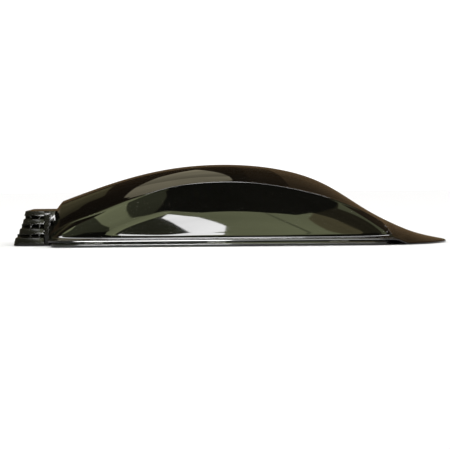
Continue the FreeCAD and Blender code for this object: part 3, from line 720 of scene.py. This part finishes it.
def card(name, corners, color, strength):
    """A flat glowing card that only reflections see."""
    mesh = bpy.data.meshes.new(name)
    mesh.from_pydata([Vector(c) for c in corners], [], [tuple(range(len(corners)))])
    obj = placed(name, mesh)
    material = bpy.data.materials.new(name)
    material.use_nodes = True
    nodes = material.node_tree.nodes
    links = material.node_tree.links
    nodes.clear()
    emission = nodes.new("ShaderNodeEmission")
    emission.inputs["Color"].default_value = (*color, 1)
    patches = noise(nodes, links, scale=0.9, detail=2)
    uneven = map_range(nodes, links, patches, (1 - CARD_UNEVEN) * strength, (1 + CARD_UNEVEN) * strength)
    links.new(uneven, emission.inputs["Strength"])
    output = nodes.new("ShaderNodeOutputMaterial")
    links.new(emission.outputs[0], output.inputs[0])
    mesh.materials.append(material)
    obj.visible_camera = False
    obj.visible_diffuse = False
    obj.visible_transmission = False
    obj.visible_shadow = False


def make_stage():
    """The plain pale floor."""
    floor = bpy.data.meshes.new("studio_floor")
    r = FLOOR_HALF
    floor.from_pydata([(-r, -r, 0), (r, -r, 0), (r, r, 0), (-r, r, 0)], [], [(0, 1, 2, 3)])
    obj = placed("studio_floor", floor)
    material, _, _, shader = new_material("studio_floor")
    shader.inputs["Base Color"].default_value = (0.9, 0.9, 0.9, 1)
    shader.inputs["Roughness"].default_value = 0.9
    floor.materials.append(material)


def make_world():
    """Even white light, in which glossy rays see a dim brown room instead."""
    world = bpy.data.worlds.new("studio")
    bpy.context.scene.world = world
    world.use_nodes = True
    nodes, links = world.node_tree.nodes, world.node_tree.links
    nodes.clear()
    path = nodes.new("ShaderNodeLightPath")
    white = nodes.new("ShaderNodeBackground")
    white.inputs["Color"].default_value = (1, 1, 1, 1)
    white.inputs["Strength"].default_value = WHITE_STRENGTH
    room = nodes.new("ShaderNodeBackground")
    room.inputs["Color"].default_value = ROOM_COLOR
    room.inputs["Strength"].default_value = 1.0
    blend = nodes.new("ShaderNodeMixShader")
    output = nodes.new("ShaderNodeOutputWorld")
    links.new(path.outputs["Is Glossy Ray"], blend.inputs[0])
    links.new(white.outputs[0], blend.inputs[1])
    links.new(room.outputs[0], blend.inputs[2])
    links.new(blend.outputs[0], output.inputs[0])


def front_card(name, outline, y, color, strength):
    """A card parallel to the hood's near side, with its outline in X and Z."""
    card(name, [(x, y, z) for x, z in outline], color, strength)


def level_card(name, outline, z, color, strength):
    """A card above or below the hood, with its outline in X and Y."""
    card(name, [(x, y, z) for x, y in outline], color, strength)


def rectangle(x0, x1, y0, y1):
    return [(x0, y0), (x1, y0), (x1, y1), (x0, y1)]


GREEN = (0.93, 1.0, 0.56)
BROWN = (1.0, 0.66, 0.34)
OLIVE = (1.0, 0.88, 0.45)
WARM_GREY = (1.0, 0.9, 0.62)
WHITE = (1.0, 1.0, 1.0)

# The room's planes, in metres; of two cards in the same direction, the one nearer the hood hides the other
WALL_Y = -3.0
WALL_PART_Y = -2.98
CANOPY_Y = -2.96
WINDOW_Y = -2.94
ROOM_LEFT = -4
ROOM_RIGHT = 4
WALL_TOP = 2.55
REAR_WALL_X = -3
REAR_CEILING_Z = 2.52
CEILING_Z = 2.5
CEILING_PART_Z = 2.48
STRIP_Z = 2.4
LAMP_Z = 2.38
GLOW_Z = 0.003

# Lines that two neighbouring cards share
WALL_JOINT = [(0.5, 0), (0.5, 1), (0.6, 1.7), (0.85, WALL_TOP)]
CANOPY_LEFT = [(-0.7, -3), (-0.8, -2.5), (-0.9, -1.5), (-1.1, 0.2)]
CANOPY_RIGHT = [(0.85, -3), (0.95, -2), (1.2, -0.3)]


def make_near_wall():
    """The wall on the near side: green to the left, olive to the right, with a canopy and a window."""
    left = [(ROOM_LEFT, 0)] + WALL_JOINT + [(ROOM_LEFT, WALL_TOP)]
    right = [(0.5, 0), (ROOM_RIGHT, 0), (ROOM_RIGHT, WALL_TOP)] + WALL_JOINT[:0:-1]
    canopy = [(-0.7, WALL_TOP), (-0.45, 2.2), (-0.1, 1.65), (0.35, 1.65), (0.55, 1.8), (0.85, WALL_TOP)]
    low = [(ROOM_LEFT, 0), (0, 0), (0, 0.7), (-0.2, 1.1), (-0.45, 1.8), (-0.45, 1.95), (ROOM_LEFT, 1.95)]
    high = [(ROOM_LEFT, 1.95), (-0.45, 1.95), (-0.45, 2.2), (-0.7, WALL_TOP), (ROOM_LEFT, WALL_TOP)]
    window = [(-0.45, 1.75), (-0.45, 1.95), (-0.1, 1.35), (0.05, 0.85), (0.05, 0.7), (-0.05, 0.7)]
    window.append((-0.2, 1.1))
    end = [(0.85, 0), (ROOM_RIGHT, 0), (ROOM_RIGHT, WALL_TOP), (1, WALL_TOP)]
    line = [(0.32, 1.65), (0.34, 1.65), (0.46, 0.6), (0.44, 0.6)]
    front_card("wall_front", left, WALL_Y, GREEN, 2.05)
    front_card("wall_side", right, WALL_Y, OLIVE, 1.0)
    front_card("canopy_front", canopy, CANOPY_Y, GREEN, 0.03)
    front_card("wall_low", low, WALL_PART_Y, GREEN, 0.3)
    front_card("wall_left", high, WALL_PART_Y, GREEN, 3.0)
    front_card("window_front", window, WINDOW_Y, WHITE, 18.0)
    front_card("wall_end", end, WALL_PART_Y, OLIVE, 0.35)
    front_card("wall_line", line, WALL_PART_Y, GREEN, 0.9)


def make_ceiling():
    """The ceiling: a dark canopy between green and olive, then lamps, then a dim brown rear half."""
    green = CANOPY_LEFT + [(-2.2, 0.2), (-2.2, -3)]
    edge = CANOPY_LEFT + [(-0.8, 0.2), (-0.65, -1.2)]
    canopy = [(-0.7, -3)] + CANOPY_RIGHT + [(-0.75, -0.3), (-0.65, -1.2)]
    olive = [(0.85, -3), (3, -3), (3, -0.3)] + CANOPY_RIGHT[:0:-1]
    lamp_right = [(1.1, -1.1), (1.6, -0.6), (1.6, -0.3), (1.2, -0.3)]
    lamp = [(-0.35, -0.1), (-0.2, -0.2), (0.15, -0.2), (0.3, -0.1)]
    lamp += [(x, -y) for x, y in reversed(lamp)]
    patch_low = [(-1.1, 0.9), (-0.95, 1.75), (0.1, 1.75), (0.15, 0.6), (-1, 0.6)]
    patch_high = [(-0.95, 1.75), (-0.7, 2.9), (-0.2, 4), (0.05, 2.2), (0.1, 1.75)]
    brown = [(-1.2, 4.9), (-1.2, 2), (-1.3, 1.3), (-2.4, 1), (-2.4, 4.9)]
    level_card("ceiling_green", green, CEILING_Z, GREEN, 2.4)
    level_card("canopy_edge", edge, CEILING_PART_Z, GREEN, 0.4)
    level_card("canopy_top", canopy, CEILING_Z, GREEN, 0.03)
    level_card("ceiling_olive", olive, CEILING_Z, OLIVE, 0.2)
    level_card("ceiling_lamp", lamp_right, CEILING_PART_Z, GREEN, 1.0)
    level_card("strip_above", rectangle(-0.9, 1.1, -0.2, 0.2), STRIP_Z, WHITE, 12.0)
    level_card("strip_lamp", lamp, LAMP_Z, WHITE, 30.0)
    level_card("patch_low", patch_low, CEILING_Z, WARM_GREY, 1.2)
    level_card("patch_high", patch_high, CEILING_Z, WARM_GREY, 0.75)
    level_card("ceiling_brown", brown, CEILING_Z, OLIVE, 0.2)
    level_card("ceiling_dark", rectangle(-2.2, 0.3, 0.3, 6), REAR_CEILING_Z, BROWN, 0.045)
    level_card("ceiling_warm", rectangle(0.3, 0.75, 0.3, 6), REAR_CEILING_Z, BROWN, 0.07)
    level_card("ceiling_warmer", rectangle(0.75, 3, 0.3, 6), REAR_CEILING_Z, BROWN, 0.17)


def make_rear_wall():
    """The wall behind the louvre box."""
    outline = [(-3, 0.03), (-3, 2.5), (6, 2.5), (6, 0.03)]
    card("rear_wall", [(REAR_WALL_X, y, z) for y, z in outline], WARM_GREY, 0.35)


def make_floor_glow():
    """Bright and dark patches of floor in front of the hood, for the flange to mirror."""
    level_card("floor_glow_rear", rectangle(-0.25, 0, -1.6, -0.2), GLOW_Z, WHITE, 70.0)
    level_card("floor_glow_front", rectangle(0, 0.25, -1.6, -0.2), GLOW_Z, WHITE, 12.0)
    level_card("floor_dark_block", rectangle(-0.6, -0.25, -1.6, -0.2), GLOW_Z, BROWN, 0.1)


def make_camera(azimuth, elevation, distance, aim, lens, roll):
    """A camera at the given angles in degrees, distance in metres from its aim, and lens in millimetres."""
    data = bpy.data.cameras.new("camera")
    data.lens = lens
    data.sensor_width = 36
    obj = placed("camera", data)
    a, e = radians(azimuth), radians(elevation)
    back = Vector((sin(a) * cos(e), -cos(a) * cos(e), sin(e)))
    obj.matrix_world = back.to_track_quat("Z", "Y").to_matrix().to_4x4()
    obj.location = aim + back * distance
    obj.rotation_euler.rotate_axis("Z", radians(roll))
    bpy.context.scene.camera = obj


AIM = Vector((-0.0085, 0.0, 0.028))
make_camera(azimuth=-1.5, elevation=2.0, distance=2.6, aim=AIM, lens=127.2, roll=-0.4)
bpy.context.scene.view_settings.view_transform = "Standard"
make_stage()
make_world()
make_near_wall()
make_ceiling()
make_rear_wall()
make_floor_glow()
make_hood()
make_weave()
for name, width in SOFT_EDGES.items():
    bevelled(name, width)
dress_remaining()
